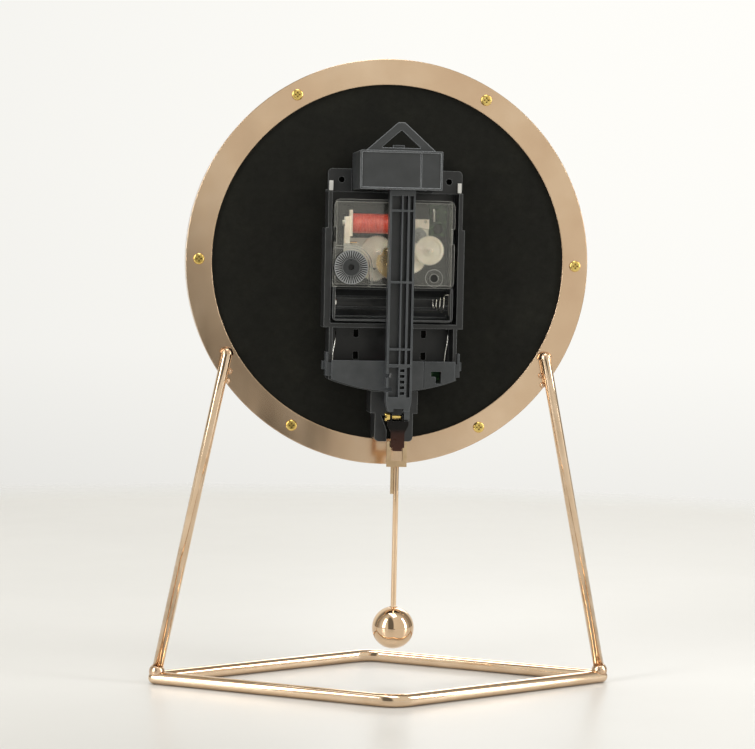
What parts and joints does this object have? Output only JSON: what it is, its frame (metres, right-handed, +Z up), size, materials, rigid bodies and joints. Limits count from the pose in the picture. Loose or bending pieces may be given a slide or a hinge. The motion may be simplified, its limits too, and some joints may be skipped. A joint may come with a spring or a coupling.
{
  "type": "pendulum desk clock",
  "caption": "Desk clock with a round case on a bent-rod stand, its quartz movement open at the back, and a ball pendulum hanging from a swinging arm.",
  "frame": {"origin": "on the table, under the middle of the base and of the legs", "axes": "+Z is up, -Y is towards the reader of the dial, +Y is towards the movement and pendulum at the back, +X is the side of the set knob"},
  "size_m": [0.2192, 0.1134, 0.294],
  "materials": {
    "stand_metal": "polished rod with a warm tint",
    "weld_metal": "rough bright weld",
    "rose_gold": "satin, soft orange-peel",
    "brass": "polished",
    "board_black": "matte black board",
    "dial_white": "satin",
    "marks": "satin",
    "dots": "satin print",
    "hands": "satin",
    "second_red": "satin",
    "spacer_grey": "matte",
    "clear_glass": "clear",
    "black_plastic": "fine matte",
    "dark_grey_plastic": "fine matte",
    "block_plastic": "fine matte",
    "clear_plastic": "clear moulded plastic",
    "white_plastic": "satin",
    "bobbin_plastic": "satin",
    "copper_red": "varnished winding",
    "gear_brass": "satin",
    "gear_white": "satin",
    "stator_steel": "satin",
    "contact_steel": "bright plated",
    "circuit_green": "solder mask",
    "chip_black": "cast resin",
    "pin_steel": "bright",
    "magnet_grey": "nickel plated",
    "gold_plate": "polished stamping",
    "dark_hook": "satin",
    "ball_chrome": "mirror polished",
    "knob_black": "fine matte"
  },
  "bodies": {
    "clock_body": {"base_rod_rear": "stand_metal", "base_rod_front": "stand_metal", "leg_left": "stand_metal", "leg_right": "stand_metal", "weld_beads": "weld_metal", "case_drum": "rose_gold", "back_flange": "rose_gold", "flange_screws": "brass", "back_board": "board_black", "dial": "dial_white", "spacer_ring": "spacer_grey", "front_glass": "clear_glass", "hour_markers": "marks", "minute_dots": "dots", "movement_case": "black_plastic", "movement_cover": "clear_plastic", "mounting_bushing": "brass", "bushing_washer": "pin_steel", "bushing_nut": "brass", "coil_bobbin": "bobbin_plastic", "coil_winding": "copper_red", "stator": "stator_steel", "stator_clamp": "bobbin_plastic", "coil_terminals": "gold_plate", "circuit_board": "circuit_green", "crystal_can": "pin_steel", "chip_blob": "chip_black", "bridge_plate": "white_plastic", "contact_plates": "contact_steel", "battery_spring": "contact_steel", "chassis_frame": "black_plastic", "ear_clips": "white_plastic", "pivot_housing": "block_plastic", "pivot_pin": "pin_steel", "housing_cover": "block_plastic", "hanger_loop": "block_plastic", "apron_cover": "dark_grey_plastic", "drive_board": "circuit_green", "drive_coil": "copper_red", "guard_plate": "black_plastic"},
    "arm": {"swing_arm": "dark_grey_plastic", "arm_magnet": "magnet_grey", "hook_screw": "brass"},
    "pendulum": {"hook_block": "dark_hook", "hook_plate": "gold_plate", "pendulum_rod": "ball_chrome", "pendulum_ball": "ball_chrome"},
    "minute_work": {"minute_wheel": "gear_white", "minute_hand": "hands"},
    "hour_work": {"hour_wheel": "gear_white", "hour_hand": "hands"},
    "seconds_work": {"seconds_wheel": "gear_brass", "second_hand": "second_red"},
    "third_work": {"third_wheel": "gear_white"},
    "transfer_work": {"transfer_wheel": "gear_white"},
    "first_work": {"first_wheel": "gear_white"},
    "rotor_work": {"rotor": "magnet_grey"},
    "motion_work": {"motion_wheel": "gear_white"},
    "set_work": {"set_knob": "knob_black"}
  },
  "joints": [
    {"name": "minute_spin", "type": "hinge", "parent": "clock_body", "child": "minute_work", "pos_m": [0, 0.004, 0.199], "axis": [0, 1, 0], "continuous": true},
    {"name": "hour_spin", "type": "hinge", "parent": "clock_body", "child": "hour_work", "pos_m": [0, 0.004, 0.199], "axis": [0, 1, 0], "continuous": true},
    {"name": "second_spin", "type": "hinge", "parent": "clock_body", "child": "seconds_work", "pos_m": [0, 0.004, 0.199], "axis": [0, 1, 0], "continuous": true},
    {"name": "third_spin", "type": "hinge", "parent": "clock_body", "child": "third_work", "pos_m": [0.00696, 0.004, 0.20388], "axis": [0, 1, 0], "continuous": true},
    {"name": "transfer_spin", "type": "hinge", "parent": "clock_body", "child": "transfer_work", "pos_m": [-0.00829, 0.004, 0.2015], "axis": [0, 1, 0], "continuous": true},
    {"name": "first_spin", "type": "hinge", "parent": "clock_body", "child": "first_work", "pos_m": [-0.01675, 0.004, 0.20499], "axis": [0, 1, 0], "continuous": true},
    {"name": "rotor_spin", "type": "hinge", "parent": "clock_body", "child": "rotor_work", "pos_m": [-0.01205, 0.004, 0.21158], "axis": [0, 1, 0], "continuous": true},
    {"name": "motion_spin", "type": "hinge", "parent": "clock_body", "child": "motion_work", "pos_m": [0.00752, 0.004, 0.19626], "axis": [0, 1, 0], "continuous": true},
    {"name": "set_spin", "type": "hinge", "parent": "clock_body", "child": "set_work", "pos_m": [0.0198, 0.004, 0.19659], "axis": [0, 1, 0], "continuous": true},
    {"name": "arm_swing", "type": "hinge", "parent": "clock_body", "child": "arm", "pos_m": [-0.002, 0.025, 0.241], "axis": [0, 1, 0], "range_deg": [-12, 12]},
    {"name": "hook_rock", "type": "hinge", "parent": "arm", "child": "pendulum", "pos_m": [-0.002, 0.0257, 0.1285], "axis": [1, 0, 0], "range_deg": [-6, 6]}
  ],
  "couplings": [
    {"joint": "minute_spin", "follows": "second_spin", "ratio": 0.016667},
    {"joint": "hour_spin", "follows": "second_spin", "ratio": 0.0013889},
    {"joint": "third_spin", "follows": "second_spin", "ratio": -0.13333},
    {"joint": "transfer_spin", "follows": "second_spin", "ratio": -6},
    {"joint": "first_spin", "follows": "second_spin", "ratio": 24},
    {"joint": "rotor_spin", "follows": "second_spin", "ratio": -120},
    {"joint": "motion_spin", "follows": "second_spin", "ratio": -0.0055556},
    {"joint": "set_spin", "follows": "second_spin", "ratio": 0.005303}
  ]
}
